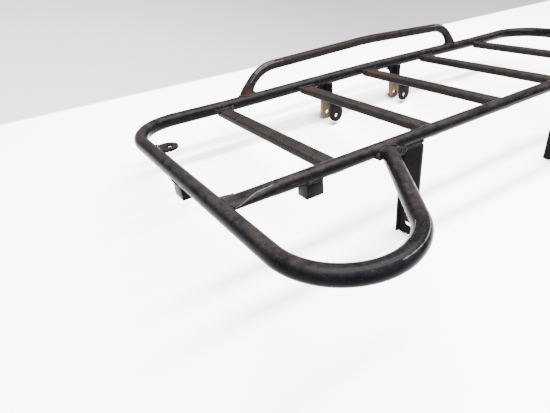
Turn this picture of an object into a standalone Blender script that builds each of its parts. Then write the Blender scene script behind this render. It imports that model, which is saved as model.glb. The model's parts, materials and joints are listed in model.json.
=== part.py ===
"""Rear cargo rack for a quad bike: a welded tube frame that stands on two hanger brackets and two legs.

Everything is modelled in the deck's own frame: X across the vehicle with the middle crossbar at 0,
Y from the near rail (0) to the far rail, Z up from the plane of the rails' centrelines.
At the end the frame is tilted so that its four feet stand on Z = 0, as it stands on a bench.
"""
import math

import bmesh
import bpy
from mathutils import Vector

MM = 0.001
GAP = 0.3 * MM                      # clearance between welded neighbours

# Perimeter tube
TUBE_R = 11.1 * MM                  # 7/8 in tube
HALF_WIDTH = 533.0 * MM             # centre of the rack to the centreline of each end tube
DEPTH = 333.5 * MM                  # near rail to far rail, centre to centre
BEND_R = 79.0 * MM                  # centreline radius of the tube bender
SPLIT_Y = 165.0 * MM                # butt joint in each end tube

# The far rail is a shallow W: a little in at its knees and out at the middle
KNEE_X = 337.0 * MM
KNEE_OUT = -4.4 * MM
MIDDLE_OUT = 6.0 * MM

# Side loops beyond the near rail: two corners, then back to the near rail at a slant
LOOP_TIP_Y = -214.5 * MM            # sharp corner below the end tube
LOOP_BACK_X = 131.5 * MM            # sharp corner where the loop turns back, in from the end tube
LOOP_BACK_Y = -178.5 * MM
LOOP_BACK_R = 88.0 * MM
LOOP_RETURN_X = 256.0 * MM          # where the loop meets the near rail, in from the end tube
LOOP_END_Y = -9.0 * MM              # centre of the tube's square-cut end

# Near rail
RAIL_R = 9.525 * MM                 # 3/4 in tube

# Crossbars: flattened rectangular tube, set low between the rails
BAR_WIDTH = 24.4 * MM
BAR_HEIGHT = 12.7 * MM
BAR_TOP_Z = -1.8 * MM
BAR_EDGE_R = 3.4 * MM
BAR_INSET = 5.0 * MM                # how far short of a rail's centreline a bar is cut off
BAR_XS = [-359.0 * MM, -172.0 * MM, 0.0, 172.0 * MM, 359.0 * MM]

# Raised rail over the far rail
RAISED_R = 8.6 * MM                 # 3/8 in pipe
RAISED_MIDDLE_X = -21.0 * MM        # its feet stand a little to the left of the rack's middle
RAISED_HALF = 287.5 * MM            # middle to the upright tangent of each bend
RAISED_HEIGHT = 53.7 * MM
RAISED_BEND_R = 68.5 * MM
RAISED_Y = DEPTH - 1.5 * MM
CROWN_UP = 6.0 * MM
CROWN_OUT = 6.0 * MM

# Hanger brackets under the far rail
HANGER_X = 101.5 * MM
PLATE_T = 4.0 * MM
EAR_WIDTH = 32.0 * MM
EAR_BOTTOM_Z = -90.0 * MM
EAR_HOLE_R = 4.5 * MM
EAR_HOLE_Z = -76.5 * MM
BACK_PLATE_Y = 348.6 * MM           # inner face of the long plate, behind the far rail
BACK_PLATE_TOP_Z = 2.0 * MM
FRONT_EAR_Y = 317.4 * MM            # outer face of the short ear
WEB_TOP_Z = -40.0 * MM

# Legs under the near rail: flat bar bent over at the top
LEG_X = 212.0 * MM                  # outer face of each leg
LEG_T = 5.0 * MM
LEG_Y0 = -5.0 * MM
LEG_Y1 = 29.5 * MM
LIP = 5.0 * MM                      # lip along the leg's far edge, turned outwards
LIP_T = 3.0 * MM
STEP = 0.2 * MM                     # keeps the lip's faces off the leg's own
LEG_BOTTOM_Z = -175.0 * MM
LEG_FLANGE = 36.0 * MM
SLOT_LENGTH = 17.0 * MM
SLOT_WIDTH = 8.5 * MM
SLOT_Y = 9.0 * MM
SLOT_Z = -157.0 * MM

# Socket blocks welded under the tubes
BLOCK_LONG = 26.8 * MM
BLOCK_WIDE = 19.5 * MM
END_BLOCK_WIDE = 17.5 * MM
BLOCK_OFF = 1.6 * MM                # off the tube's centreline, towards the inside of the deck
BLOCK_BOTTOM_Z = -28.3 * MM
BLOCK_TOP_Z = -2.0 * MM
BLOCK_BORE_R = 4.25 * MM
BLOCK_BORE_DEPTH = 12.0 * MM
RAIL_BLOCK_X = 127.7 * MM           # in from the end tube
END_BLOCK_Y = 108.5 * MM

# Eye tabs on the end tubes
TAB_Y = 217.0 * MM
TAB_WIDTH = 32.0 * MM
TAB_REACH = 24.7 * MM               # end tube's centreline to the centre of the round end
TAB_T = 3.0 * MM
TAB_TOP_Z = 1.3 * MM
EYE_REACH = 27.5 * MM               # end tube's centreline to the centre of the eye
EYE_R = 4.5 * MM


def clear_scene():
    for obj in list(bpy.data.objects):
        bpy.data.objects.remove(obj, do_unlink=True)


def new_collection(name):
    collection = bpy.data.collections.new(name)
    bpy.context.scene.collection.children.link(collection)
    return collection


clear_scene()
PARTS = new_collection("rear_rack")
CUTTERS = new_collection("cutters")


def paint(name, colour, roughness, metallic):
    material = bpy.data.materials.new(name)
    material.use_nodes = True
    shader = material.node_tree.nodes["Principled BSDF"]
    shader.inputs["Base Color"].default_value = (*colour, 1.0)
    shader.inputs["Roughness"].default_value = roughness
    shader.inputs["Metallic"].default_value = metallic
    return material


def finish(obj, colour=(0.03, 0.028, 0.028), roughness=0.35, metallic=0.0):
    """Give a finished sub-part its own material."""
    obj.data.materials.clear()
    obj.data.materials.append(paint(obj.name + "_paint", colour, roughness, metallic))
    return obj


def rounded_path(corners, radii, step=math.radians(9)):
    """Points along straight runs between corners, with each inner corner rounded to its radius."""
    corners = [Vector(c) for c in corners]
    points = [corners[0]]
    for before, corner, after, radius in zip(corners, corners[1:], corners[2:], radii):
        back = (before - corner).normalized()
        ahead = (after - corner).normalized()
        half = back.angle(ahead) / 2
        centre = corner + (back + ahead).normalized() * (radius / math.sin(half))
        start = corner + back * (radius / math.tan(half))
        arm = start - centre
        turn = math.pi - 2 * half
        sideways = back * -radius
        count = max(2, math.ceil(turn / step))
        for k in range(count + 1):
            angle = turn * k / count
            points.append(centre + arm * math.cos(angle) + sideways * math.sin(angle))
    points.append(corners[-1])
    return points


def tube(name, points, radius, collection=PARTS, resolution=4):
    """A round tube: a poly curve with a bevel and filled caps."""
    data = bpy.data.curves.new(name, "CURVE")
    data.dimensions = "3D"
    data.bevel_depth = radius
    data.bevel_resolution = resolution
    data.use_fill_caps = True
    spline = data.splines.new("POLY")
    spline.points.add(len(points) - 1)
    for target, point in zip(spline.points, points):
        target.co = (*point, 1.0)
    spline.use_smooth = True
    obj = bpy.data.objects.new(name, data)
    collection.objects.link(obj)
    return obj


def outline(name, loops, thickness, collection=PARTS):
    """A flat plate in its local XY plane from closed loops of points; inner loops are holes."""
    data = bpy.data.curves.new(name, "CURVE")
    data.dimensions = "2D"
    data.fill_mode = "BOTH"
    data.extrude = thickness / 2
    for loop in loops:
        spline = data.splines.new("POLY")
        spline.points.add(len(loop) - 1)
        for target, (x, y) in zip(spline.points, loop):
            target.co = (x, y, 0.0, 1.0)
        spline.use_cyclic_u = True
    obj = bpy.data.objects.new(name, data)
    collection.objects.link(obj)
    return obj


def box(name, low, high, collection=PARTS):
    """A box between two corners, its size in its mesh."""
    bpy.ops.mesh.primitive_cube_add(size=1.0)
    obj = bpy.context.object
    obj.name = name
    obj.data.name = name
    for parent in list(obj.users_collection):
        parent.objects.unlink(obj)
    collection.objects.link(obj)
    low, high = Vector(low), Vector(high)
    size, centre = high - low, (high + low) / 2
    for vertex in obj.data.vertices:
        vertex.co = [vertex.co[axis] * size[axis] for axis in range(3)]
    obj.location = centre
    return obj


def as_mesh(obj):
    """Turn a curve object into a mesh object with its caps welded."""
    bpy.context.view_layer.update()
    evaluated = obj.evaluated_get(bpy.context.evaluated_depsgraph_get())
    mesh = bpy.data.meshes.new_from_object(evaluated)
    form = bmesh.new()
    form.from_mesh(mesh)
    bmesh.ops.remove_doubles(form, verts=form.verts, dist=0.00001)
    bmesh.ops.recalc_face_normals(form, faces=form.faces)
    form.to_mesh(mesh)
    form.free()
    name, collection, matrix = obj.name, obj.users_collection[0], obj.matrix_world.copy()
    bpy.data.objects.remove(obj, do_unlink=True)
    solid = bpy.data.objects.new(name, mesh)
    solid.matrix_world = matrix
    collection.objects.link(solid)
    return solid


def as_cutter(obj):
    obj.hide_render = True
    obj.display_type = "WIRE"
    return obj


def boolean(obj, other, operation="DIFFERENCE"):
    modifier = obj.modifiers.new(other.name, "BOOLEAN")
    modifier.operation = operation
    modifier.object = other
    return obj


def smooth(obj):
    obj.data.shade_smooth()
    obj.data.set_sharp_from_angle(angle=math.radians(35))
    return obj


def circle(x, y, radius, count=20, start=0.0, sweep=math.tau):
    """Points on a circle or an arc; an arc's last point is included."""
    closed = sweep == math.tau
    steps = count if closed else count + 1
    return [(x + radius * math.cos(start + sweep * k / count),
             y + radius * math.sin(start + sweep * k / count)) for k in range(steps)]


def far_rail_y(x):
    """Centreline of the far rail at x, measured from the near rail."""
    distance = abs(x)
    if distance < KNEE_X:
        return DEPTH + MIDDLE_OUT + (KNEE_OUT - MIDDLE_OUT) * distance / KNEE_X
    return DEPTH + KNEE_OUT * (HALF_WIDTH - distance) / (HALF_WIDTH - KNEE_X)


def far_rail_path():
    corners = [(-HALF_WIDTH, SPLIT_Y + GAP, 0), (-HALF_WIDTH, DEPTH, 0)]
    corners += [(x, far_rail_y(x), 0) for x in (-KNEE_X, 0.0, KNEE_X)]
    corners += [(HALF_WIDTH, DEPTH, 0), (HALF_WIDTH, SPLIT_Y + GAP, 0)]
    knee_r = 3 * BEND_R
    return rounded_path(corners, [BEND_R, knee_r, knee_r, knee_r, BEND_R])


def loop_path(side):
    end = side * HALF_WIDTH
    corners = [(end, SPLIT_Y, 0),
               (end, LOOP_TIP_Y, 0),
               (end - side * LOOP_BACK_X, LOOP_BACK_Y, 0),
               (end - side * LOOP_RETURN_X, 0, 0)]
    points = rounded_path(corners, [BEND_R, LOOP_BACK_R])
    last, before = points[-1], points[-2]
    share = (LOOP_END_Y - before.y) / (last.y - before.y)
    points[-1] = before.lerp(last, share)
    return points


def rail_cutter(name, points, radius):
    return as_cutter(as_mesh(tube(name, points, radius + GAP, CUTTERS)))


def build_perimeter(near_cutter):
    finish(tube("far_rail_tube", far_rail_path(), TUBE_R))
    for side, word in ((-1, "left"), (1, "right")):
        loop = smooth(as_mesh(tube(f"{word}_loop_tube", loop_path(side), TUBE_R)))
        finish(boolean(loop, near_cutter))


def build_near_rail(loop_cutters):
    ends = [(-HALF_WIDTH + BAR_INSET, 0, 0), (HALF_WIDTH - BAR_INSET, 0, 0)]
    rail = smooth(as_mesh(tube("near_rail", ends, RAIL_R)))
    for cutter in loop_cutters:
        boolean(rail, cutter)
    finish(rail)


def build_crossbars(near_cutter, far_cutter):
    for number, x in enumerate(BAR_XS, start=1):
        low = (x - BAR_WIDTH / 2, BAR_INSET, BAR_TOP_Z - BAR_HEIGHT)
        high = (x + BAR_WIDTH / 2, far_rail_y(x) - BAR_INSET, BAR_TOP_Z)
        bar = box(f"crossbar_{number}", low, high)
        edge = bar.modifiers.new("rounded_edges", "BEVEL")
        edge.width = BAR_EDGE_R
        edge.segments = 2
        edge.limit_method = "ANGLE"
        boolean(bar, near_cutter)
        boolean(bar, far_cutter)
        finish(bar, colour=(0.045, 0.038, 0.036), roughness=0.45)


def raised_rail_path():
    rise = RAISED_HEIGHT - RAISED_BEND_R
    first = math.asin(-rise / RAISED_BEND_R)
    steps = 9
    points = []
    for side in (-1, 1):
        centre_x = RAISED_MIDDLE_X + side * (RAISED_HALF - RAISED_BEND_R)
        arc = []
        for k in range(steps + 1):
            angle = first + (math.pi / 2 - first) * k / steps
            arc.append(Vector((centre_x + side * RAISED_BEND_R * math.cos(angle),
                               RAISED_Y,
                               rise + RAISED_BEND_R * math.sin(angle))))
        if side < 0:
            points += arc
            points.append(Vector((0.0, RAISED_Y + CROWN_OUT, RAISED_HEIGHT + CROWN_UP)))
        else:
            points += reversed(arc)
    return points


def build_raised_rail(far_cutter):
    rail = smooth(as_mesh(tube("raised_rail", raised_rail_path(), RAISED_R)))
    finish(boolean(rail, far_cutter), colour=(0.05, 0.04, 0.037))


def ear_outline(top):
    """A strip with a round lower end, upright in local XY, and its bolt hole."""
    radius = EAR_WIDTH / 2
    lower = circle(0, EAR_BOTTOM_Z + radius, radius, 16, math.pi, math.pi)
    return [[(-radius, top)] + lower + [(radius, top)], circle(0, EAR_HOLE_Z, EAR_HOLE_R)]


def build_hangers():
    upright = (math.pi / 2, 0, 0)
    for side, word in ((-1, "left"), (1, "right")):
        x = side * HANGER_X
        plate = outline(f"hanger_plate_{word}", ear_outline(BACK_PLATE_TOP_Z), PLATE_T)
        plate.rotation_euler = upright
        plate.location = (x, BACK_PLATE_Y + PLATE_T / 2, 0)
        finish(plate, colour=(0.20, 0.13, 0.07), roughness=0.6)

        ear = outline(f"hanger_lug_{word}", ear_outline(WEB_TOP_Z), PLATE_T)
        ear.rotation_euler = upright
        ear.location = (x, FRONT_EAR_Y + PLATE_T / 2, 0)
        lug = as_mesh(ear)
        web = box(f"hanger_web_{word}",
                  (x - EAR_WIDTH / 2 + GAP, FRONT_EAR_Y + PLATE_T / 2, WEB_TOP_Z - PLATE_T),
                  (x + EAR_WIDTH / 2 - GAP, BACK_PLATE_Y - GAP, WEB_TOP_Z - GAP), CUTTERS)
        finish(boolean(lug, as_cutter(web), "UNION"))


def bent_strip(name, profile, low_y, high_y):
    """A flat bar bent in local XZ: pairs of points across its thickness, swept from low_y to high_y."""
    form = bmesh.new()
    rings = []
    for (x0, z0), (x1, z1) in profile:
        section = [(x0, low_y, z0), (x1, low_y, z1), (x1, high_y, z1), (x0, high_y, z0)]
        rings.append([form.verts.new(co) for co in section])
    for ring, following in zip(rings, rings[1:]):
        for k in range(4):
            form.faces.new([ring[k], ring[k - 1], following[k - 1], following[k]])
    form.faces.new(rings[0])
    form.faces.new(reversed(rings[-1]))
    bmesh.ops.recalc_face_normals(form, faces=form.faces)
    mesh = bpy.data.meshes.new(name)
    form.to_mesh(mesh)
    form.free()
    obj = bpy.data.objects.new(name, mesh)
    PARTS.objects.link(obj)
    return obj


def build_legs():
    top = -RAIL_R - GAP
    heel_x = LEG_X - LEG_T
    bend_x, bend_z = LEG_X + LEG_T, top - 2 * LEG_T
    for side, word in ((-1, "left"), (1, "right")):
        outside = circle(bend_x, bend_z, 2 * LEG_T, 6, math.pi, -math.pi / 2)
        inside = circle(bend_x, bend_z, LEG_T, 6, math.pi, -math.pi / 2)
        profile = [((heel_x, LEG_BOTTOM_Z), (LEG_X, LEG_BOTTOM_Z))]
        profile += list(zip(outside, inside))
        profile.append(((LEG_X + LEG_FLANGE, top), (LEG_X + LEG_FLANGE, top - LEG_T)))
        profile = [((side * x0, z0), (side * x1, z1)) for (x0, z0), (x1, z1) in profile]
        leg = bent_strip(f"leg_{word}", profile, LEG_Y0, LEG_Y1 - STEP)
        xs = sorted((side * (LEG_X - LEG_T / 2), side * (LEG_X + LIP)))
        lip = box(f"lip_{word}",
                  (xs[0], LEG_Y1 - LIP_T, LEG_BOTTOM_Z + STEP),
                  (xs[1], LEG_Y1, top - LEG_T / 2), CUTTERS)
        boolean(leg, as_cutter(lip), "UNION")

        run = (SLOT_LENGTH - SLOT_WIDTH) / 2
        ends = circle(run, 0, SLOT_WIDTH / 2, 8, -math.pi / 2, math.pi)
        ends += circle(-run, 0, SLOT_WIDTH / 2, 8, math.pi / 2, math.pi)
        slot = outline(f"slot_{word}", [ends], 4 * LEG_T, CUTTERS)
        slot.rotation_euler = (math.pi / 2, 0, math.pi / 2)
        slot.location = (side * (LEG_X - LEG_T / 2), SLOT_Y, SLOT_Z)
        finish(boolean(leg, as_cutter(as_mesh(slot))))


def build_block(name, centre, size, cutter):
    """A square block coped to a tube, with a threaded bore up from below."""
    half = Vector(size) / 2
    low = (centre[0] - half.x, centre[1] - half.y, BLOCK_BOTTOM_Z)
    high = (centre[0] + half.x, centre[1] + half.y, BLOCK_TOP_Z)
    block = box(name, low, high)
    bpy.ops.mesh.primitive_cylinder_add(vertices=20, radius=BLOCK_BORE_R, depth=2 * BLOCK_BORE_DEPTH)
    bore = bpy.context.object
    bore.name = name + "_bore"
    for parent in list(bore.users_collection):
        parent.objects.unlink(bore)
    CUTTERS.objects.link(bore)
    bore.location = (centre[0], centre[1], BLOCK_BOTTOM_Z)
    boolean(block, cutter)
    boolean(block, as_cutter(bore))
    finish(block)


def build_blocks(near_cutter, loop_cutters):
    for side, word, loop_cutter in ((-1, "left", loop_cutters[0]), (1, "right", loop_cutters[1])):
        build_block(f"rail_block_{word}",
                    (side * (HALF_WIDTH - RAIL_BLOCK_X), BLOCK_OFF),
                    (BLOCK_LONG, BLOCK_WIDE, 0), near_cutter)
        build_block(f"end_block_{word}",
                    (side * (HALF_WIDTH - BLOCK_OFF), END_BLOCK_Y),
                    (END_BLOCK_WIDE, BLOCK_LONG, 0), loop_cutter)


def build_tabs():
    for side, word in ((-1, "left"), (1, "right")):
        root = TUBE_R + GAP
        radius = TAB_WIDTH / 2
        edge = [(root, -radius)] + circle(TAB_REACH, 0, radius, 14, -math.pi / 2, math.pi)
        edge += [(root, radius)]
        tab = outline(f"eye_tab_{word}", [edge, circle(EYE_REACH, 0, EYE_R)], TAB_T)
        tab.rotation_euler = (0, 0, math.pi if side > 0 else 0)
        tab.location = (side * HALF_WIDTH, TAB_Y, TAB_TOP_Z - TAB_T / 2)
        finish(tab)


def build_rack():
    cope_reach = HALF_WIDTH - 4 * TUBE_R
    near_line = [(-cope_reach, 0, 0), (cope_reach, 0, 0)]
    near_cutter = rail_cutter("near_rail_cope", near_line, RAIL_R)
    far_cutter = rail_cutter("far_rail_cope", far_rail_path(), TUBE_R)
    loop_cutters = []
    for side, word in ((-1, "left"), (1, "right")):
        line = [(side * HALF_WIDTH, SPLIT_Y, 0), (side * HALF_WIDTH, LOOP_TIP_Y, 0)]
        loop_cutters.append(rail_cutter(f"{word}_end_cope", line, TUBE_R))
    build_perimeter(near_cutter)
    build_near_rail(loop_cutters)
    build_crossbars(near_cutter, far_cutter)
    build_raised_rail(far_cutter)
    build_hangers()
    build_legs()
    build_blocks(near_cutter, loop_cutters)
    build_tabs()


def stand_on_feet():
    """Tilt the deck so that both leg heels and both hanger plates touch the floor, and centre it."""
    reach = BACK_PLATE_Y + PLATE_T - (LEG_Y1 - STEP)
    tilt = math.atan2(EAR_BOTTOM_Z - LEG_BOTTOM_Z, reach)
    stand = bpy.data.objects.new("stand", None)
    PARTS.objects.link(stand)
    stand.rotation_euler = (-tilt, 0, 0)
    for obj in list(PARTS.objects) + list(CUTTERS.objects):
        if obj is not stand:
            obj.parent = stand
    bpy.context.view_layer.update()
    graph = bpy.context.evaluated_depsgraph_get()
    corners = []
    for obj in PARTS.objects:
        if obj is not stand:
            mesh = obj.evaluated_get(graph).to_mesh()
            corners += [obj.matrix_world @ vertex.co for vertex in mesh.vertices]
    low = [min(corner[axis] for corner in corners) for axis in range(3)]
    high = [max(corner[axis] for corner in corners) for axis in range(3)]
    stand.location = (-(low[0] + high[0]) / 2, -(low[1] + high[1]) / 2, -low[2])
    bpy.context.view_layer.update()


build_rack()
stand_on_feet()
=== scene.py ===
import json
import math
import random

import bmesh
import bpy
from mathutils import Matrix, Vector, noise


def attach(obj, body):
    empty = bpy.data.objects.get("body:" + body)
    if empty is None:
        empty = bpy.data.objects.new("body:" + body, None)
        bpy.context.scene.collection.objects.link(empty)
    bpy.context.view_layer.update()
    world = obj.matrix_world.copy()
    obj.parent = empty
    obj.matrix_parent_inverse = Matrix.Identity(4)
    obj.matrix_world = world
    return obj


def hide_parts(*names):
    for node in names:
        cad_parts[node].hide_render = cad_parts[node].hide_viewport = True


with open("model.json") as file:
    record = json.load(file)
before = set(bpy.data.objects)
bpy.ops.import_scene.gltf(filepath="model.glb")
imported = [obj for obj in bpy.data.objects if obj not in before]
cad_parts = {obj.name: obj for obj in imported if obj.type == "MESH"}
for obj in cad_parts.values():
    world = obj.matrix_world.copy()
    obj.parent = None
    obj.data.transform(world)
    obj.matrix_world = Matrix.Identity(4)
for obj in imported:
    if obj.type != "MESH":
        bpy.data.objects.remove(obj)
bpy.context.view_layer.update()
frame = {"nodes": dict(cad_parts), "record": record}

MM = 0.001

# ---------------------------------------------------------------- the deck's own frame
# Everything is modelled flat and then tilted as the rack stands. X runs across the vehicle with
# the middle bar at 0, Y from near rail to far rail, and Z up from the rails' centrelines.
mounts = {mount["name"]: mount for mount in frame["record"]["mounts"]}
deck_mount = mounts["eye_tab_face_left"]
TILT = math.atan2(deck_mount["axis"][1], deck_mount["axis"][2])
DECK_TURN = Matrix.Rotation(-TILT, 4, "X")
DECK_POINT = Vector((-516.0, 217.0, 1.3)) * MM  # the same mount's place on the flat deck
DECK = Matrix.Translation(Vector(deck_mount["pos_m"]) - DECK_TURN @ DECK_POINT) @ DECK_TURN

# ---------------------------------------------------------------- sizes
TUBE_R = 10.78 * MM  # 0.3 mm under the CAD's, to stay inside its faceted box
RAIL_R = 9.525 * MM
RAISED_R = 8.6 * MM
HALF_WIDTH = 533.0 * MM  # from the middle to an end tube
DEPTH = 333.5 * MM  # from near rail to far rail
BEND_R = 79.0 * MM  # at the far corners and the loops' outer corners

# the far rail is a shallow W: in at the knees, out in the middle
KNEE_X = 337.0 * MM
KNEE_OUT = -4.4 * MM
MIDDLE_OUT = 6.0 * MM

# side loops: sharp corners of the path, measured from the end tube
LOOP_TIP_Y = -213.6 * MM
LOOP_BACK_X = 131.5 * MM
LOOP_BACK_Y = -178.5 * MM
LOOP_BACK_R = 88.0 * MM
LOOP_RETURN_X = 256.0 * MM
LOOP_END_Y = -9.5 * MM
SEAM_Y = 165 * MM  # where a loop's path meets the far rail's

BAR_XS = [-359.0 * MM, -172.0 * MM, 0.0, 172.0 * MM, 359.0 * MM]
BAR_WIDTH = 24.4 * MM
BAR_HEIGHT = 12.7 * MM
BAR_TOP_Z = -1.8 * MM
BAR_EDGE_R = 4.0 * MM
BAR_Z = BAR_TOP_Z - BAR_HEIGHT / 2
CORNER_STEPS = 4

RAISED_MIDDLE_X = -21.0 * MM
RAISED_HALF = 287.5 * MM
RAISED_HEIGHT = 53.7 * MM
RAISED_BEND_R = 68.5 * MM
RAISED_FOOT_Z = 5.5 * MM
RAISED_Y = DEPTH - 1.5 * MM
CROWN_UP = 6.0 * MM  # the raised rail's middle stands higher and further out
CROWN_OUT = 6.0 * MM
CROWN_SHARE = 0.93  # share of the way to the middle that is straight

HANGER_X = 101.5 * MM

SIDES = 32  # round a tube
ARC_STEP = math.radians(4)
LONG_STEP = 8 * MM  # along the long tubes
RAISED_STEP = 6 * MM
BAR_STEP = 10 * MM


def far_rail_y(x):
    distance = abs(x)
    if distance < KNEE_X:
        return DEPTH + MIDDLE_OUT + (KNEE_OUT - MIDDLE_OUT) * distance / KNEE_X
    return DEPTH + KNEE_OUT * (HALF_WIDTH - distance) / (HALF_WIDTH - KNEE_X)


# ---------------------------------------------------------------- paths
def rounded_path(corners, radii):
    """A path of straight lines whose inner corners are rounded to the radii."""
    corners = [Vector(c) for c in corners]
    points = [corners[0]]
    for before, corner, after, radius in zip(corners, corners[1:], corners[2:], radii):
        back = (before - corner).normalized()
        ahead = (after - corner).normalized()
        half = back.angle(ahead) / 2
        centre = corner + (back + ahead).normalized() * (radius / math.sin(half))
        arm = corner + back * (radius / math.tan(half)) - centre
        turn = math.pi - 2 * half
        count = max(2, math.ceil(turn / ARC_STEP))
        for k in range(count + 1):
            angle = turn * k / count
            points.append(centre + arm * math.cos(angle) - back * radius * math.sin(angle))
    points.append(corners[-1])
    return points


def resample(points, spacing):
    """The path again with its points no further apart than the spacing."""
    dense = [points[0]]
    for a, b in zip(points, points[1:]):
        count = max(1, math.ceil((b - a).length / spacing))
        dense += [a.lerp(b, (k + 1) / count) for k in range(count)]
    return dense


def ease(value, low, high):
    """0 at low, 1 at high, smooth between."""
    t = min(1.0, max(0.0, (value - low) / (high - low)))
    return t * t * (3 - 2 * t)


# ---------------------------------------------------------------- meshes
WORN_EDGE = 1.0
# faces that carry a painted highlight line
CREASE_HIGHLIGHT_ZONE = 2.0
SHARP_ANGLE = math.radians(50)


def layers(form):
    """What the materials read: "lay" is the place along and across a piece, and "edge" marks faces
    as a worn edge or as the zone of a painted highlight line along creases."""
    lay = form.verts.layers.float_vector.get("lay") or form.verts.layers.float_vector.new("lay")
    edge = form.faces.layers.float.get("edge") or form.faces.layers.float.new("edge")
    return lay, edge


def add_piece(name, form, material, replaces=()):
    """A piece from a bmesh in the deck's frame. It rides the one body."""
    mesh = bpy.data.meshes.new(name)
    bmesh.ops.recalc_face_normals(form, faces=form.faces)
    form.to_mesh(mesh)
    form.free()
    mesh.transform(DECK)
    mesh.shade_smooth()
    mesh.set_sharp_from_angle(angle=SHARP_ANGLE)
    obj = bpy.data.objects.new(name, mesh)
    bpy.context.scene.collection.objects.link(obj)
    mesh.materials.append(material)
    if replaces:
        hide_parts(*replaces)
    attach(obj, "root")


def oval(wide, high, sides=SIDES):
    return [(wide * math.cos(math.tau * j / sides), high * math.sin(math.tau * j / sides))
            for j in range(sides)]


def bar_ring(wide, high, radius):
    """A rectangle with rounded corners, CORNER_STEPS + 1 points to a corner."""
    ring = []
    for cx, cy, start in ((1, 1, 0), (-1, 1, 90), (-1, -1, 180), (1, -1, 270)):
        for k in range(CORNER_STEPS + 1):
            angle = math.radians(start + 90 * k / CORNER_STEPS)
            ring.append((cx * (wide / 2 - radius) + radius * math.cos(angle),
                         cy * (high / 2 - radius) + radius * math.sin(angle)))
    return ring


def flattened(radius, reach, wide, high):
    """Section of a round tube whose ends are pressed flat over a reach, to these half sizes."""
    def section(s, length):
        near_start = 1 - ease(s, 0, reach)
        near_end = ease(s, length - reach, length)
        t = max(near_start, near_end)
        return oval(radius + (wide - radius) * t, radius + (high - radius) * t)
    return section


def sweep(form, centres, section, worn=(), crease_highlight=None):
    """A closed skin round a path.

    section(s, length) gives the ring's (across, lift) points at s along the path. worn lists the
    strips along it that are worn edges. The last argument, called with (s, length, j), says how
    far round the tube ring point j lies from a painted highlight line along creases, or None away
    from one.
    """
    lay, edge = layers(form)
    # how far each point lies from a painted highlight line
    line = form.verts.layers.float.new("crease_highlight")
    gaps = {}
    rings = []
    travelled = 0.0
    length = sum((b - a).length for a, b in zip(centres, centres[1:]))
    tangent = (centres[1] - centres[0]).normalized()
    side = tangent.cross(Vector((0, 0, 1)))
    if side.length < 0.3:
        side = tangent.cross(Vector((0, 1, 0)))
    side.normalize()
    for k, centre in enumerate(centres):
        before = centres[max(k - 1, 0)]
        after = centres[min(k + 1, len(centres) - 1)]
        tangent = (after - before).normalized()
        side = (side - tangent * side.dot(tangent)).normalized()
        up = side.cross(tangent)
        travelled += (centre - before).length
        ring = []
        for j, (across, lift) in enumerate(section(travelled, length)):
            vertex = form.verts.new(centre + side * across + up * lift)
            vertex[lay] = (travelled, across, lift)
            gaps[vertex] = crease_highlight(travelled, length, j) if crease_highlight else None
            vertex[line] = gaps[vertex] or 0.0
            ring.append(vertex)
        rings.append(ring)
    for ring, following in zip(rings, rings[1:]):
        for j in range(len(ring)):
            corners = [ring[j - 1], ring[j], following[j], following[j - 1]]
            face = form.faces.new(corners)
            if j in worn:
                face[edge] = WORN_EDGE
            if all(gaps[corner] is not None for corner in corners):
                face[edge] = CREASE_HIGHLIGHT_ZONE
    form.faces.new(rings[0])
    form.faces.new(list(reversed(rings[-1])))


def refine(node, name, slot, material, bevel, long_axis, bends=()):
    """A CAD node again with its edges rounded, carrying the layers that its material reads.
    bends lists edges along X that are rounded more: their y and z and the radius."""
    form = bmesh.new()
    form.from_mesh(frame["nodes"][node].data)
    form.transform(DECK.inverted())
    bmesh.ops.remove_doubles(form, verts=form.verts, dist=0.01 * MM)
    bmesh.ops.dissolve_limit(form, angle_limit=math.radians(1.0), verts=form.verts,
                             edges=form.edges)
    lay, edge = layers(form)
    for y, z, radius in bends:
        bent = [e for e in form.edges
                if all(abs(v.co.y - y) + abs(v.co.z - z) < 0.5 * MM for v in e.verts)]
        bmesh.ops.bevel(form, geom=bent, offset=radius, segments=5, profile=0.5, affect="EDGES")
    sharp = [e for e in form.edges
             if len(e.link_faces) == 2 and e.calc_face_angle() > math.radians(40)]
    made = bmesh.ops.bevel(form, geom=sharp, offset=bevel, segments=2, profile=0.5,
                           affect="EDGES", clamp_overlap=True)
    for face in made["faces"]:
        face[edge] = WORN_EDGE
    for vertex in form.verts:
        co = vertex.co
        vertex[lay] = (co[long_axis], co[(long_axis + 1) % 3], co[(long_axis + 2) % 3])
    add_piece(name, form, material, [node])


# ---------------------------------------------------------------- material nodes
def add(tree, kind, inputs=None, **settings):
    """A shader node; inputs maps its sockets to values or to the sockets that feed them."""
    node = tree.nodes.new("ShaderNode" + kind)
    for key, value in settings.items():
        setattr(node, key, value)
    for key, value in (inputs or {}).items():
        if isinstance(value, bpy.types.NodeSocket):
            tree.links.new(value, node.inputs[key])
        else:
            node.inputs[key].default_value = value
    return node


def attribute(tree, name, output):
    return add(tree, "Attribute", attribute_name=name).outputs[output]


def speckle(tree, vector, scale, detail=4.0, roughness=0.55, distortion=0.0):
    inputs = {"Vector": vector, "Scale": scale, "Detail": detail, "Roughness": roughness,
              "Distortion": distortion}
    return add(tree, "TexNoise", inputs).outputs[0]


def ramp(tree, value, low, high, start=0.0, end=1.0):
    """start at low, end at high, smooth between and level beyond."""
    inputs = {"Value": value, "From Min": low, "From Max": high, "To Min": start, "To Max": end}
    return add(tree, "MapRange", inputs, interpolation_type="SMOOTHSTEP").outputs[0]


def calc(tree, operation, a, b=0.0):
    return add(tree, "Math", {0: a, 1: b}, operation=operation).outputs[0]


def times(tree, *values):
    result = values[0]
    for value in values[1:]:
        result = calc(tree, "MULTIPLY", result, value)
    return result


def most(tree, *values):
    result = values[0]
    for value in values[1:]:
        result = calc(tree, "MAXIMUM", result, value)
    return result


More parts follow.
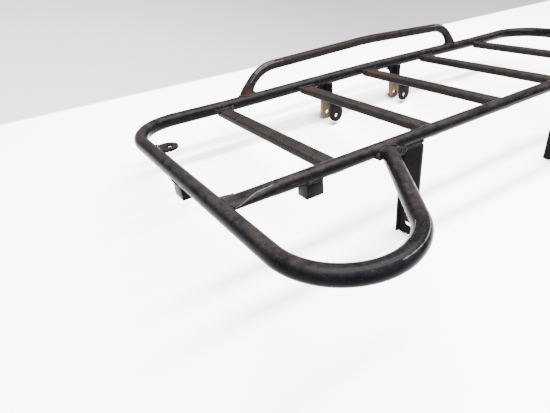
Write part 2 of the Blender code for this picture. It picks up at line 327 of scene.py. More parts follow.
def tint(tree, factor, a, b):
    """Mix of two colours, either of which may be a socket."""
    def colour(value):
        return value if isinstance(value, bpy.types.NodeSocket) else (*value, 1.0)
    node = add(tree, "Mix", {0: factor, 6: colour(a), 7: colour(b)}, data_type="RGBA")
    return node.outputs[2]


def level(tree, factor, a, b):
    """Mix of two numbers, either of which may be a socket."""
    return add(tree, "Mix", {0: factor, 2: a, 3: b}, data_type="FLOAT").outputs[0]


def stretched(tree, vector, scale):
    return add(tree, "VectorMath", {0: vector, 1: scale}, operation="MULTIPLY").outputs[0]


def near(tree, place, spots):
    """A spot's strength at its middle, 0 beyond its reach. Spots are (x, y, z, reach, strength),
    in the deck's frame and in mm."""
    masks = []
    for x, y, z, reach, strength in spots:
        centre = DECK @ (Vector((x, y, z)) * MM)
        gap = add(tree, "VectorMath", {0: place, 1: centre}, operation="DISTANCE")
        masks.append(ramp(tree, gap.outputs["Value"], reach * MM, 0.25 * reach * MM,
                          0.0, strength))
    return most(tree, *masks)


# ---------------------------------------------------------------- paint
SPECULAR_LEVEL = 0.018
BLACK_PAINT = (0.0020, 0.0019, 0.0024)
# dust colour, which on the tops also stands for a painted sheen
BLACK_DUST_AND_SHEEN = (0.0180, 0.0163, 0.0160)
BARE_STEEL = (0.024, 0.018, 0.015)
SPECK_COLOUR = (0.042, 0.039, 0.037)
SCRATCH_COLOUR = (0.050, 0.047, 0.046)
# pale colour of the painted highlight lines along creases and ridges
CREASE_HIGHLIGHT_COLOUR = (0.062, 0.060, 0.060)
RUST_COLOURS = ((0.011, 0.0056, 0.0043), (0.040, 0.0175, 0.0090))
PLATE_COLOURS = ((0.060, 0.040, 0.025), (0.115, 0.082, 0.052))
# light tan on the hanger plates' cut edges: bare steel with a painted edge highlight
PLATE_EDGE_BARE_AND_HIGHLIGHT_COLOUR = (0.20, 0.155, 0.095)
PLATE_MIDDLE_Y = 350.1 * MM  # half way through the long hanger plates


def worn_paint(name, paint=BLACK_PAINT, dust_and_sheen=0.6, dust_and_sheen_colour=BLACK_DUST_AND_SHEEN, gloss=0.22,
               scratches=0.5, chips=0.3, edge_wear_and_highlight=0.7, rust=0.15, rusty_spots=(), lumpy=0.0,
               bare_below=None, bare_and_edge_highlight_colour=BARE_STEEL, thin_film_spots=()):
    """Paint that has been knocked about: dust on what faces up, lighter there also as a painted
    sheen, painted highlight lines along creases, scratches, chips and rust.
    bare_below is the deck height under which a hanger plate's front is bare steel."""
    material = bpy.data.materials.new(name)
    material.use_nodes = True
    tree = material.node_tree
    shader = tree.nodes["Principled BSDF"]
    shader.inputs["Specular IOR Level"].default_value = SPECULAR_LEVEL
    lay = attribute(tree, "lay", "Vector")
    edge = attribute(tree, "edge", "Fac")
    place = add(tree, "TexCoord").outputs["Object"]
    normal = add(tree, "NewGeometry").outputs["Normal"]
    facing_up = add(tree, "SeparateXYZ", {0: normal}).outputs["Z"]

    broad = speckle(tree, place, 11.0, 5.0, 0.6)
    blotch = speckle(tree, place, 55.0, 6.0, 0.65, 0.3)
    grain = speckle(tree, place, 420.0, 4.0, 0.7)
    peel = speckle(tree, place, 900.0, 2.0)

    # dust lies thickest on top and in blotches; the lighter tops are also a painted sheen where
    # the overhead light falls
    uneven = calc(tree, "ADD", facing_up, times(tree, blotch, 0.3))
    dust_and_sheen_film = times(tree, ramp(tree, uneven, 0.74, 1.08), ramp(tree, blotch, 0.30, 0.60, 0.35, 1.0))
    streaks = speckle(tree, place, 150.0, 5.0, 0.7)
    dust_and_sheen_film = times(tree, dust_and_sheen_film, ramp(tree, streaks, 0.38, 0.58, 0.5, 1.0))
    dust_and_sheen_film = times(tree, dust_and_sheen_film, ramp(tree, broad, 0.3, 0.65, 0.65, 1.0), dust_and_sheen)
    # less dust and painted sheen round these spots
    if thin_film_spots:
        dust_and_sheen_film = times(tree, dust_and_sheen_film, calc(tree, "SUBTRACT", 1.0, near(tree, place, thin_film_spots)))
    specks = times(tree, ramp(tree, grain, 0.60, 0.72), ramp(tree, facing_up, 0.1, 0.8),
                   0.6 * dust_and_sheen)

    # long scratches run along the piece, short ones across it
    along = speckle(tree, stretched(tree, lay, (14.0, 900.0, 900.0)), 1.0, 3.0, 0.6)
    across = speckle(tree, stretched(tree, lay, (800.0, 60.0, 60.0)), 1.0, 2.0, 0.5)
    scuffed = ramp(tree, speckle(tree, place, 24.0, 3.0), 0.42, 0.62)
    lines = most(tree, ramp(tree, along, 0.66, 0.72), ramp(tree, across, 0.72, 0.76, 0.0, 0.6))
    lines = times(tree, lines, scuffed, scratches)

    # chips and worn edges show brown steel; where the worn edges are light tan, as on the lug,
    # they are also a painted edge highlight
    flaked = ramp(tree, speckle(tree, place, 230.0, 6.0, 0.75), 0.665, 0.70)
    chip = times(tree, flaked, ramp(tree, speckle(tree, place, 32.0, 3.0), 0.5, 0.66), chips)
    patchy = speckle(tree, place, 140.0, 5.0, 0.7)
    rubbed_and_edge_highlight = times(tree, ramp(tree, edge, 0.0, 1.0), ramp(tree, edge, 1.8, 1.2),
                   ramp(tree, patchy, 0.38, 0.6), edge_wear_and_highlight)
    bare = most(tree, chip, rubbed_and_edge_highlight)

    # painted highlight lines along creases and ridges: thin pale lines of uneven width
    off_line = calc(tree, "ABSOLUTE", attribute(tree, "crease_highlight", "Fac"))
    off_line = calc(tree, "DIVIDE", off_line, ramp(tree, patchy, 0.34, 0.6, 0.3, 1.0))
    crease_highlight = times(tree, ramp(tree, edge, 1.2, 1.9),
                   ramp(tree, off_line, 1.1 * MM, 0.4 * MM, 0.0, 0.6))

    # rust comes in patches and spreads from the spots named
    rusting = times(tree, ramp(tree, speckle(tree, place, 75.0, 8.0, 0.72), 0.52, 0.68),
                    ramp(tree, broad, 0.45, 0.7), rust)
    if rusty_spots:
        eaten = ramp(tree, speckle(tree, place, 160.0, 7.0, 0.7), 0.32, 0.58, 0.35, 1.0)
        rusting = most(tree, rusting, times(tree, near(tree, place, rusty_spots), eaten))

    colour = tint(tree, ramp(tree, blotch, 0.35, 0.7), paint, tuple(1.7 * c for c in paint))
    dust_and_sheen_tone = tint(tree, ramp(tree, grain, 0.3, 0.7), tuple(0.6 * c for c in dust_and_sheen_colour),
                      dust_and_sheen_colour)
    brownish = (1.0 * dust_and_sheen_colour[0], 0.84 * dust_and_sheen_colour[1], 0.80 * dust_and_sheen_colour[2])
    dust_and_sheen_tone = tint(tree, ramp(tree, speckle(tree, place, 38.0, 5.0, 0.6), 0.46, 0.62),
                      dust_and_sheen_tone, brownish)
    # dust, with a painted sheen, on the tops
    colour = tint(tree, dust_and_sheen_film, colour, dust_and_sheen_tone)
    colour = tint(tree, specks, colour, SPECK_COLOUR)
    colour = tint(tree, lines, colour, SCRATCH_COLOUR)
    colour = tint(tree, bare, colour, bare_and_edge_highlight_colour)
    # painted highlight lines
    colour = tint(tree, crease_highlight, colour, CREASE_HIGHLIGHT_COLOUR)
    if bare_below is not None:
        parts = add(tree, "SeparateXYZ", {0: lay})
        waterline = calc(tree, "SUBTRACT", parts.outputs["X"], times(tree, broad, 8 * MM))
        low = ramp(tree, waterline, bare_below - 3 * MM, bare_below - 7 * MM)
        front = ramp(tree, parts.outputs["Z"], PLATE_MIDDLE_Y + 0.5 * MM,
                     PLATE_MIDDLE_Y - 0.5 * MM)
        steel = tint(tree, ramp(tree, blotch, 0.3, 0.7), *PLATE_COLOURS)
        # cut edges lighter: bare steel with a painted edge highlight
        steel = tint(tree, edge, steel, PLATE_EDGE_BARE_AND_HIGHLIGHT_COLOUR)
        colour = tint(tree, times(tree, low, front), colour, steel)
    rust_shade = tint(tree, ramp(tree, speckle(tree, place, 210.0, 6.0, 0.7), 0.35, 0.65),
                      *RUST_COLOURS)
    colour = tint(tree, rusting, colour, rust_shade)
    tree.links.new(colour, shader.inputs["Base Color"])

    rough = level(tree, ramp(tree, blotch, 0.3, 0.7), gloss, gloss + 0.16)
    rough = level(tree, most(tree, dust_and_sheen_film, specks), rough, 0.62)
    rough = level(tree, lines, rough, 0.42)
    rough = level(tree, most(tree, bare, rusting), rough, 0.82)
    tree.links.new(rough, shader.inputs["Roughness"])

    height = level(tree, 0.12, blotch, peel)
    height = level(tree, times(tree, rusting, 0.6), height,
                   speckle(tree, place, 600.0, 6.0, 0.8))
    height = calc(tree, "SUBTRACT", height, times(tree, most(tree, bare, lines), 0.35))
    relief = add(tree, "Bump", {"Height": height, "Strength": 0.35 + lumpy,
                                "Distance": 0.35 * MM})
    tree.links.new(relief.outputs["Normal"], shader.inputs["Normal"])
    return material


# the dust and painted sheen are thinner round the loops' bends, so their tops are darker there
LOOP_THIN_FILM_SPOTS = [(side * 450.0, -190.0, 0.0, 130.0, 0.75) for side in (-1, 1)]
BAR_RUST_SPOTS = [(-172.0, 312.0, -2.0, 45.0, 0.26), (0.0, 305.0, -2.0, 60.0, 0.34),
                  (172.0, 316.0, -2.0, 36.0, 0.2)]
# dark red-brown round the hanger plates' holes
HOLE_DARK_SPOTS = [(-100.0, 349.0, -79.5, 11.0, 1.0), (103.0, 349.0, -79.5, 11.0, 1.0)]

tube_paint = worn_paint("worn_black_tube", dust_and_sheen=0.75, gloss=0.2, scratches=0.65, chips=0.5,
                        rust=0.1, thin_film_spots=LOOP_THIN_FILM_SPOTS)
rail_paint = worn_paint("worn_black_rail", dust_and_sheen=0.6, gloss=0.2, scratches=0.8, chips=0.6,
                        rust=0.1)
bar_paint = worn_paint("worn_brown_bar", paint=(0.0040, 0.0037, 0.0038), dust_and_sheen=0.95,
                       dust_and_sheen_colour=(0.0120, 0.0108, 0.0105), gloss=0.38, chips=0.4,
                       edge_wear_and_highlight=0.25, rusty_spots=BAR_RUST_SPOTS)
raised_paint = worn_paint("worn_brown_rail", paint=(0.0044, 0.0036, 0.0036), dust_and_sheen=0.85,
                          dust_and_sheen_colour=(0.0105, 0.0088, 0.0084), gloss=0.3, scratches=0.6,
                          chips=0.5, rust=0.4, rusty_spots=[(-302.0, 332.0, 10.0, 20.0, 0.6)])
bracket_paint = worn_paint("worn_black_bracket", dust_and_sheen=0.5, gloss=0.3, chips=0.5, rust=0.25)
weld_paint = worn_paint("painted_weld", paint=(0.0040, 0.0037, 0.0041), gloss=0.26, chips=0.6,
                        edge_wear_and_highlight=0.0, rust=0.3, lumpy=0.3,
                        rusty_spots=[(-302.0, 332.0, 10.0, 24.0, 0.6)])
# tan bare steel at chips and all along the lug's cut edges, the edges also a painted edge
# highlight
lug_paint = worn_paint("worn_black_lug", dust_and_sheen=0.5, gloss=0.3, chips=0.4, edge_wear_and_highlight=1.0,
                       rust=0.3, bare_and_edge_highlight_colour=(0.095, 0.070, 0.042))
hanger_paint = worn_paint("bare_brown_hanger", dust_and_sheen=0.5, gloss=0.35, chips=0.5, rust=0.5,
                          rusty_spots=HOLE_DARK_SPOTS, bare_below=-44 * MM)

# ---------------------------------------------------------------- perimeter tube
# painted highlight lines on both sides of each loop's bend, along its creases: strip round the
# tube, start, end
LOOP_CREASE_HIGHLIGHTS = ((4.3, 190 * MM, 330 * MM), (11.6, 165 * MM, 262 * MM),
                (12.4, 186 * MM, 230 * MM))
LOOP_PRESS = (38 * MM, 12.8 * MM, 5.4 * MM)  # reach and half sizes of the pressed end


def loop_path(side):
    """From the seam along the end tube, round the loop to its pressed end on the near rail."""
    end = side * HALF_WIDTH
    corners = [(end, SEAM_Y, 0), (end, LOOP_TIP_Y, 0),
               (end - side * LOOP_BACK_X, LOOP_BACK_Y, 0), (end - side * LOOP_RETURN_X, 0, 0)]
    points = rounded_path(corners, [BEND_R, LOOP_BACK_R])
    share = (LOOP_END_Y - points[-2].y) / (points[-1].y - points[-2].y)
    points[-1] = points[-2].lerp(points[-1], share)
    return points


def round_tube(strips, radius):
    """Length round a tube of so many strips."""
    return strips * math.tau * radius / SIDES


# where the painted highlight lines lie on the loops
def loop_crease_highlight(s, length, j):
    for target, start, end in LOOP_CREASE_HIGHLIGHTS:
        if start < min(s, length - s) < end and abs(j - target) < 1.5:
            return round_tube(j - target, TUBE_R)
    return None


far_corners = [(-HALF_WIDTH, SEAM_Y, 0), (-HALF_WIDTH, DEPTH, 0)]
far_corners += [(x, far_rail_y(x), 0) for x in (-KNEE_X, 0.0, KNEE_X)]
far_corners += [(HALF_WIDTH, DEPTH, 0), (HALF_WIDTH, SEAM_Y, 0)]
far_path = rounded_path(far_corners, [BEND_R, 3 * BEND_R, 3 * BEND_R, 3 * BEND_R, BEND_R])
perimeter_path = loop_path(-1)[::-1][:-1] + far_path[:-1] + loop_path(1)

form = bmesh.new()
sweep(form, resample(perimeter_path, LONG_STEP), flattened(TUBE_R, *LOOP_PRESS),
      crease_highlight=loop_crease_highlight)
add_piece("perimeter_tube", form, tube_paint,
          ["far_rail_tube", "left_loop_tube", "right_loop_tube"])

# ---------------------------------------------------------------- near rail
NEAR_PRESS = (85 * MM, 14.5 * MM, 6.0 * MM)
NEAR_END_X = HALF_WIDTH - 6 * MM
NEAR_END_Z = 1.5 * MM
NEAR_STRAIGHT_X = 440 * MM


# painted highlight line along the pressed ends' worn ridges
def ridge(s, length, j):
    """A worn ridge, drawn as a painted highlight line, climbs from each pressed end's near corner
    towards the top.
    """
    nearest = min(s, length - s)
    target = 0.6 + 4.6 * ease(nearest, 5 * MM, 44 * MM)
    if 4 * MM < nearest < 68 * MM and abs(j - target) < 2.5:
        return round_tube(j - target, RAIL_R)
    return None


near_path = [Vector((-NEAR_END_X, 0, NEAR_END_Z)), Vector((-NEAR_STRAIGHT_X, 0, 0)),
             Vector((NEAR_STRAIGHT_X, 0, 0)), Vector((NEAR_END_X, 0, NEAR_END_Z))]
form = bmesh.new()
sweep(form, resample(near_path, LONG_STEP), flattened(RAIL_R, *NEAR_PRESS), crease_highlight=ridge)
add_piece("near_rail_tube", form, rail_paint, ["near_rail"])

# ---------------------------------------------------------------- raised rail
RAISED_PRESS = (30 * MM, 6.5 * MM, 15.0 * MM)
# painted highlight lines along the raised rail's bends: strip round the tube, start, end
RAISED_CREASE_HIGHLIGHTS = ((3.2, 22 * MM, 105 * MM), (5.6, 40 * MM, 90 * MM))
RAISED_ARC_STEPS = 24


def raised_crease_highlight(s, length, j):
    """Painted highlight lines follow the bends of the raised rail."""
    for target, start, end in RAISED_CREASE_HIGHLIGHTS:
        if start < min(s, length - s) < end and abs(j - target) < 1.2:
            return round_tube(j - target, RAISED_R)
    return None


def raised_bend(side):
    """From a foot on the far rail up round the bend."""
    centre_x = RAISED_MIDDLE_X + side * (RAISED_HALF - RAISED_BEND_R)
    centre_z = RAISED_HEIGHT - RAISED_BEND_R
    first = math.asin((RAISED_FOOT_Z - centre_z) / RAISED_BEND_R)
    arc = []
    for k in range(RAISED_ARC_STEPS + 1):
        angle = first + (math.pi / 2 - first) * k / RAISED_ARC_STEPS
        arc.append(Vector((centre_x + side * RAISED_BEND_R * math.cos(angle), RAISED_Y,
                           centre_z + RAISED_BEND_R * math.sin(angle))))
    return arc


crown = Vector((0.0, RAISED_Y + CROWN_OUT, RAISED_HEIGHT + CROWN_UP))
left_bend, right_bend = raised_bend(-1), raised_bend(1)
raised_path = left_bend + [left_bend[-1].lerp(crown, CROWN_SHARE)]
raised_path += [crown.lerp(right_bend[-1], 1 - CROWN_SHARE)] + right_bend[::-1]
form = bmesh.new()
sweep(form, resample(raised_path, RAISED_STEP), flattened(RAISED_R, *RAISED_PRESS),
      crease_highlight=raised_crease_highlight)
add_piece("raised_rail_tube", form, raised_paint, ["raised_rail"])

# ---------------------------------------------------------------- crossbars
BAR_INSET = 4 * MM  # from the rails' centrelines
DENT = 0.25 * MM
bar_outline = bar_ring(BAR_WIDTH, BAR_HEIGHT, BAR_EDGE_R)
upper_edges = [j for j in range(len(bar_outline))
               if j % (CORNER_STEPS + 1) > 0 and bar_outline[j][1] > 0]


def bar_section(number):
    """The bar's top is a little uneven along it, and no two bars are alike."""
    def section(s, length):
        dent = DENT * noise.noise(Vector((s * 40, number * 7.3, 0)))
        return [(across, lift + (dent if lift > 0 else 0)) for across, lift in bar_outline]
    return section


for number, x in enumerate(BAR_XS, start=1):
    bar_path = [Vector((x, BAR_INSET, BAR_Z)), Vector((x, far_rail_y(x) - BAR_INSET, BAR_Z))]
    form = bmesh.new()
    sweep(form, resample(bar_path, BAR_STEP), bar_section(number), worn=upper_edges)
    add_piece(f"bar_{number}", form, bar_paint, [f"crossbar_{number}"])

# ---------------------------------------------------------------- brackets
LUG_BENDS = [(317.4 * MM, -40 * MM, 6.5 * MM), (321.4 * MM, -44 * MM, 2.5 * MM)]
# CAD node, piece, slot, material, bevel, long axis, bends
BRACKETS = (
    ("leg", "foot_leg", "bracket_paint", bracket_paint, 0.7 * MM, 2, ()),
    ("hanger_plate", "long_ear", "bare_hanger", hanger_paint, 0.7 * MM, 2, ()),
    ("hanger_lug", "short_ear", "bracket_paint", lug_paint, 0.6 * MM, 2, LUG_BENDS),
    ("rail_block", "near_block", "bracket_paint", bracket_paint, 1.0 * MM, 2, ()),
    ("end_block", "side_block", "bracket_paint", bracket_paint, 1.0 * MM, 2, ()),
    ("eye_tab", "strap_tab", "bracket_paint", bracket_paint, 0.6 * MM, 0, ()))

for word in ("left", "right"):
    for node, name, *rest in BRACKETS:
        refine(f"{node}_{word}", f"{name}_{word}", *rest)

# ---------------------------------------------------------------- welds
BEAD_SIDES = 10
BEAD_STEP = 0.9 * MM
BEAD_PITCH = 3.4 * MM
RING_POINTS = 36  # of a weld that goes right round a tube's end
X, Y, Z = Vector((1, 0, 0)), Vector((0, 1, 0)), Vector((0, 0, 1))
ORIGIN = Vector((0, 0, 0))

# Tables of short beads: random seed, radius in mm, and the places along it in mm. They are for
# the right side; the left side's are mirrored, with seeds of their own.
END_FILLETS = (
    (91, 2.8, ((524.5, 20.5, 0), (516, 17, 0.5), (504, 13, 1.5))),
    (93, 2.6, ((525.5, 16, 2), (517, 14, 2.5), (508, 11, 2.5))))
BRACKET_BEADS = (
    # rail blocks
    (51, 2.6, ((392.5, -8.6, -5.0), (418, -8.6, -5.0))),
    (52, 2.2, ((392.5, -7.6, -2.6), (418, -7.6, -2.6))),
    (53, 2.2, ((392.5, 10.6, -3.0), (418, 10.6, -3.0))),
    # end blocks
    (54, 2.2, ((541.0, 96, -6), (541.0, 121, -6))),
    (55, 2.2, ((521.4, 96, -6), (521.4, 121, -6))),
    # legs' flanges under the near rail
    (61, 2.2, ((209, -6.2, -8.6), (246, -6.2, -8.6))),
    (63, 2.0, ((209, 6.0, -8.8), (246, 6.0, -8.8))),
    # hangers' webs
    (73, 1.8, ((87, 347.9, -39.6), (116, 347.9, -39.6))),
    (75, 1.8, ((87, 347.9, -44.6), (116, 347.9, -44.6))),
    # eye tabs
    (81, 1.7, ((521.6, 202.5, 2.2), (521.6, 231.5, 2.2))),
    (82, 1.7, ((521.6, 202.5, -2.6), (521.6, 231.5, -2.6))))
HANGER_FILLETS = (
    (83, 3.8, ((122, 345.0, -6), (112, 347.6, -7))),
    (80, 3.2, ((119, 345.0, -11), (112, 347.6, -12))),
    (85, 3.8, ((81, 345.0, -6), (91, 347.6, -7))),
    (82, 3.2, ((84, 345.0, -11), (91, 347.6, -12))))

# Heavy weld on the left of both hanger plates, with x from the plate's left edge.
HANGER_LUMPS = (
    (83, 4.2, ((-17, 344.0, -9), (2, 347.4, -25))),
    (85, 4.4, ((-10, 344.5, -9), (2, 347.4, -17))),
    (87, 3.6, ((-21, 343.5, -7.5), (2, 346.5, -9))),
    (89, 3.8, ((-13, 344.2, -12), (-1, 347.2, -20))))
PLATE_HALF_MM = 16

# Lumps beside a loop's pressed end: how far inwards, then y and z, from the end of its path.
LOOP_LUMPS = (
    (31, 3.6, ((9, -9, -2), (13, -8, -3), (18, -8, -4), (23, -8, -6))),
    (33, 3.0, ((8, -11, -6), (13, -10, -7), (19, -9, -8))),
    (35, 3.8, ((-11, -10, 0), (-15, -10, -2), (-20, -10, -4))),
    (37, 3.6, ((-17, -9, -5), (-24, -8, -6), (-30, -8, -8), (-36, -7, -9))),
    (39, 3.4, ((-16, -10, -8), (-21, -9, -10), (-27, -8, -12), (-33, -7, -13))))
LUMP_Y_SHIFT = 8


def meet(point, direction, centre, axis, radius):
    """Where a line first meets a round tube, or its nearest point if it misses."""
    offset = point - centre
    o = offset - axis * offset.dot(axis)
    d = direction - axis * direction.dot(axis)
    a, b, c = d.dot(d), 2 * o.dot(d), o.dot(o) - radius * radius
    root = b * b - 4 * a * c
    t = (-b - math.sqrt(root)) / (2 * a) if root > 0 else -b / (2 * a)
    return point + direction * t


def bead(form, points, radius, seed, closed=False, pitch=BEAD_PITCH):
    """A rippled weld bead along a path: overlapping scales, a little uneven."""
    rng = random.Random(seed)
    lay, _ = layers(form)
    path = [Vector(p) for p in points]
    if closed:
        path.append(path[0].copy())
    path = resample(path, BEAD_STEP)
    count = len(path) - 1 if closed else len(path)
    phase = rng.uniform(0, pitch)
    scales = int(count * BEAD_STEP / pitch) + 3
    swell = [rng.uniform(0.85, 1.2) for _ in range(scales)]
    rings = []
    travelled = 0.0
    for k in range(count):
        before = path[(k - 1) % count] if closed else path[max(k - 1, 0)]
        after = path[(k + 1) % count] if closed else path[min(k + 1, count - 1)]
        tangent = (after - before).normalized()
        side = tangent.orthogonal().normalized()
        if abs(tangent.z) < 0.9:
            side = tangent.cross(Z).normalized()
        up = side.cross(tangent)
        travelled += BEAD_STEP
        scale = swell[int((travelled + phase) / pitch) % len(swell)]
        ripple = ((travelled + phase) / pitch) % 1.0
        size = radius * scale * (0.86 + 0.22 * math.sin(math.pi * ripple))
        if not closed:
            size *= 0.35 + 0.65 * min(1.0, k / 3, (count - 1 - k) / 3)
        ring = []
        for j, (across, lift) in enumerate(oval(1, 1, BEAD_SIDES)):
            bump = size * (1 + 0.12 * noise.noise(path[k] * 700 + Vector((j, seed, 0))))
            vertex = form.verts.new(path[k] + side * bump * across + up * bump * lift)
            vertex[lay] = (travelled, across * radius, lift * radius)
            ring.append(vertex)
        rings.append(ring)
    for ring, following in zip(rings, rings[1:] + rings[:1] if closed else rings[1:]):
        for j in range(BEAD_SIDES):
            form.faces.new([ring[j - 1], ring[j], following[j], following[j - 1]])
    if not closed:
        form.faces.new(rings[0])
        form.faces.new(list(reversed(rings[-1])))


def beads(form, table, side):
    for seed, size, places in table:
        line = [(side * x * MM, y * MM, z * MM) for x, y, z in places]
        bead(form, line, size * MM, seed + side)


def end_ring(middle, across, over, wide, high):
    """Points right round a tube's end, in the plane of two directions."""
    return [middle + across * a + over * b for a, b in oval(wide, high, RING_POINTS)]


end_welds, near_welds, far_welds, bracket_welds = (bmesh.new() for _ in range(4))

for side in (-1, 1):
    # near rail on the end tube
    ring = end_ring(Vector((side * 500 * MM, 0, NEAR_END_Z)), Y, Z, 13.6 * MM, 6.4 * MM)
    end_tube = Vector((side * HALF_WIDTH, 0, 0))
    line = [meet(p, X * side, end_tube, Y, TUBE_R) for p in ring]
    bead(end_welds, line, 1.6 * MM, 11 + side, closed=True)
    beads(end_welds, END_FILLETS, side)

    # loop's pressed end on the near rail
    path = loop_path(side)
    along = (path[-1] - path[-2]).normalized()
    ring = end_ring(path[-1] - along * 14 * MM, along.cross(Z), Z, 12.6 * MM, 5.2 * MM)
    line = [meet(p, along, ORIGIN, X, RAIL_R) for p in ring]
    bead(near_welds, line, 1.6 * MM, 21 + side, closed=True, pitch=4.2 * MM)
    for seed, size, places in LOOP_LUMPS:
        lump = [path[-1] + X * side * w * MM + Y * (d + LUMP_Y_SHIFT) * MM + Z * h * MM
                for w, d, h in places]
        bead(near_welds, lump, size * MM, seed + side, pitch=5 * MM)

    # raised rail's pressed foot on the far rail
    foot, upper = raised_path[0], raised_path[4]
    if side > 0:
        foot, upper = raised_path[-1], raised_path[-5]
    down = (foot - upper).normalized()
    beyond = foot.x + 10 * MM
    rail_centre = Vector((foot.x, far_rail_y(foot.x), 0))
    run = (Vector((beyond, far_rail_y(beyond), 0)) - rail_centre).normalized()
    ring = end_ring(foot - down * 34 * MM, down.cross(Y).normalized(), Y, 14.6 * MM, 6.8 * MM)
    line = [meet(p, down, rail_centre, run, TUBE_R) for p in ring]
    bead(far_welds, line, 2.2 * MM, 41 + side, closed=True)

    # hanger plate on the far rail's outer side
    top_y = far_rail_y(HANGER_X) + 10.9 * MM
    line = [(side * x * MM, top_y, 3.0 * MM) for x in (87, 116)]
    bead(far_welds, line, 2.2 * MM, 71 + side)
    left_edge = side * HANGER_X / MM - PLATE_HALF_MM
    for seed, size, places in HANGER_LUMPS:
        line = [((left_edge + x) * MM, y * MM, z * MM) for x, y, z in places]
        bead(far_welds, line, size * MM, seed + side)
    beads(far_welds, HANGER_FILLETS, side)

    beads(bracket_welds, BRACKET_BEADS, side)


def bar_fillet(form, x, hand, reach, tip, root, bow, radius, seed):
    """Weld in the corner between a bar's side and a rail. hand says which side of the bar, tip
    and root are the (y, z) of its ends, and it bows along Y."""
    tip = Vector((x + hand * (BAR_WIDTH / 2 + reach), *tip))
    root = Vector((x + hand * (BAR_WIDTH / 2 - 0.5 * MM), *root))
    bead(form, [tip, tip.lerp(root, 0.5) + Y * bow, root], radius, seed + hand)


FILLET_BOW = 1.2 * MM
FILLET_ROOT_Z = -3.4 * MM
upper_outline = [p for p in bar_outline if p[1] > -1.5 * MM]
for number, x in enumerate(BAR_XS):
    near_line = [meet(Vector((x + a, 40 * MM, BAR_Z + b)), -Y, ORIGIN, X, RAIL_R)
                 for a, b in upper_outline]
    bead(near_welds, near_line, 3.0 * MM, 101 + number)
    for hand, reach in ((1, 8.0 * MM), (-1, 5.0 * MM)):
        bar_fillet(near_welds, x, hand, reach, (7.6 * MM, 1.6 * MM), (14.5 * MM, FILLET_ROOT_Z),
                   -FILLET_BOW, 3.2 * MM, 141 + number)
    far_y = far_rail_y(x)
    far_line = [meet(Vector((x + a, 290 * MM, BAR_Z + b)), Y, Vector((x, far_y, 0)), X, TUBE_R)
                for a, b in upper_outline]
    bead(far_welds, far_line, 3.0 * MM, 121 + number)
    for hand, reach in ((1, 5.0 * MM), (-1, 9.0 * MM)):
        bar_fillet(far_welds, x, hand, reach, (far_y - 9.6 * MM, 1.0 * MM),
                   (far_y - 16.5 * MM, FILLET_ROOT_Z), FILLET_BOW, 2.9 * MM, 161 + number)

add_piece("welds_ends", end_welds, weld_paint)
add_piece("welds_near_rail", near_welds, weld_paint)
add_piece("welds_far_rail", far_welds, weld_paint)
add_piece("welds_brackets", bracket_welds, weld_paint)

# ---------------------------------------------------------------- camera
# At the photograph's angle, in the deck's frame.
CAMERA_AZIMUTH = math.radians(59.51)  # from +X towards +Y
CAMERA_PITCH = math.radians(29.93)  # downwards
CAMERA_ROLL = math.radians(-5.10)
CAMERA_PLACE = Vector((-701.1, -408.7, 248.4)) * MM
FOCAL_WIDTHS = 0.8247636  # focal length in widths of the picture
SENSOR_WIDTH = 36.0


def aim(azimuth, pitch, roll, place):
    """Camera matrix in the deck's frame."""
    forward = Vector((math.cos(azimuth) * math.cos(pitch),
                      math.sin(azimuth) * math.cos(pitch), -math.sin(pitch)))
    right = Vector((math.sin(azimuth), -math.cos(azimuth), 0.0))
    down = forward.cross(right)
    turned_right = right * math.cos(roll) - down * math.sin(roll)
    turned_down = right * math.sin(roll) + down * math.cos(roll)
    turn = Matrix((turned_right, -turned_down, -forward)).transposed().to_4x4()
    return Matrix.Translation(place) @ turn


camera_data = bpy.data.cameras.new("camera")
camera_data.sensor_width = SENSOR_WIDTH
camera_data.lens = FOCAL_WIDTHS * SENSOR_WIDTH
camera_data.clip_start = 0.02
camera = bpy.data.objects.new("camera", camera_data)
bpy.context.scene.collection.objects.link(camera)
bpy.context.scene.camera = camera
camera.matrix_world = DECK @ aim(CAMERA_AZIMUTH, CAMERA_PITCH, CAMERA_ROLL, CAMERA_PLACE)

# ---------------------------------------------------------------- floor and light
FLOOR_HALF = 5.0
FLOOR_WHITE = (0.95, 0.95, 0.95)
WALL_Y = 0.512  # the floor is grey from here on, as the wall behind the bench
WALL_BLUR = 0.012
# the wall's grey, darker towards +X as painted shade
WALL_GREYS_AND_PAINTED_SHADE = ((0.36, 0.36, 0.36), (0.15, 0.147, 0.152))
WALL_PAINTED_SHADE_XS = (-0.9, 0.5)


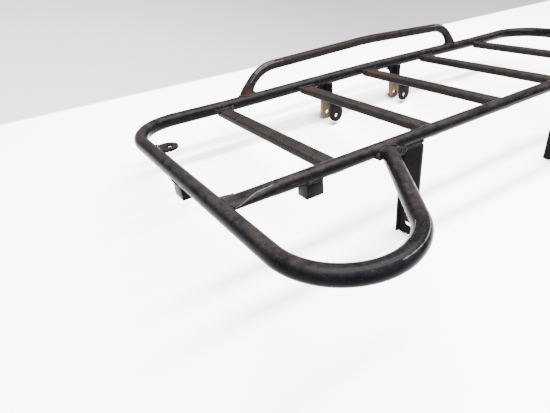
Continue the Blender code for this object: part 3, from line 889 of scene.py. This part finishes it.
def floor_paint():
    """Near-white bench, grey beyond the line where the wall stands, with painted shade that
    darkens the grey towards +X.
    """
    material = bpy.data.materials.new("pale_floor")
    material.use_nodes = True
    tree = material.node_tree
    shader = tree.nodes["Principled BSDF"]
    place = add(tree, "TexCoord").outputs["Object"]
    parts = add(tree, "SeparateXYZ", {0: place})
    beyond = ramp(tree, parts.outputs["Y"], WALL_Y, WALL_Y + WALL_BLUR)
    wall = tint(tree, ramp(tree, parts.outputs["X"], *WALL_PAINTED_SHADE_XS), *WALL_GREYS_AND_PAINTED_SHADE)
    tree.links.new(tint(tree, beyond, FLOOR_WHITE, wall), shader.inputs["Base Color"])
    shader.inputs["Roughness"].default_value = 0.7
    shader.inputs["Specular IOR Level"].default_value = 0.1
    return material


def softbox(name, place, target, wide, deep, power):
    data = bpy.data.lights.new(name, "AREA")
    data.shape = "RECTANGLE"
    data.size = wide
    data.size_y = deep
    data.energy = power
    data.color = (1.0, 0.99, 0.97)
    lamp = bpy.data.objects.new(name, data)
    bpy.context.scene.collection.objects.link(lamp)
    lamp.location = place
    lamp.rotation_euler = (Vector(target) - Vector(place)).to_track_quat("-Z", "Y").to_euler()


floor_mesh = bpy.data.meshes.new("floor")
floor_corners = [(x * FLOOR_HALF, y * FLOOR_HALF, 0)
                 for x, y in ((-1, -1), (1, -1), (1, 1), (-1, 1))]
floor_mesh.from_pydata(floor_corners, [], [(0, 1, 2, 3)])
floor = bpy.data.objects.new("floor", floor_mesh)
bpy.context.scene.collection.objects.link(floor)
floor_mesh.materials.append(floor_paint())

world = bpy.data.worlds.new("studio")
bpy.context.scene.world = world
world.use_nodes = True
sky = world.node_tree.nodes["Background"]
sky.inputs["Color"].default_value = (0.93, 0.96, 1.0, 1.0)
sky.inputs["Strength"].default_value = 0.35

softbox("strip_front", (-0.2, -0.35, 1.9), (-0.2, -0.3, 0.0), 2.6, 0.22, 270.0)
softbox("strip_back", (0.2, 0.30, 1.9), (0.2, 0.28, 0.0), 2.6, 0.22, 270.0)
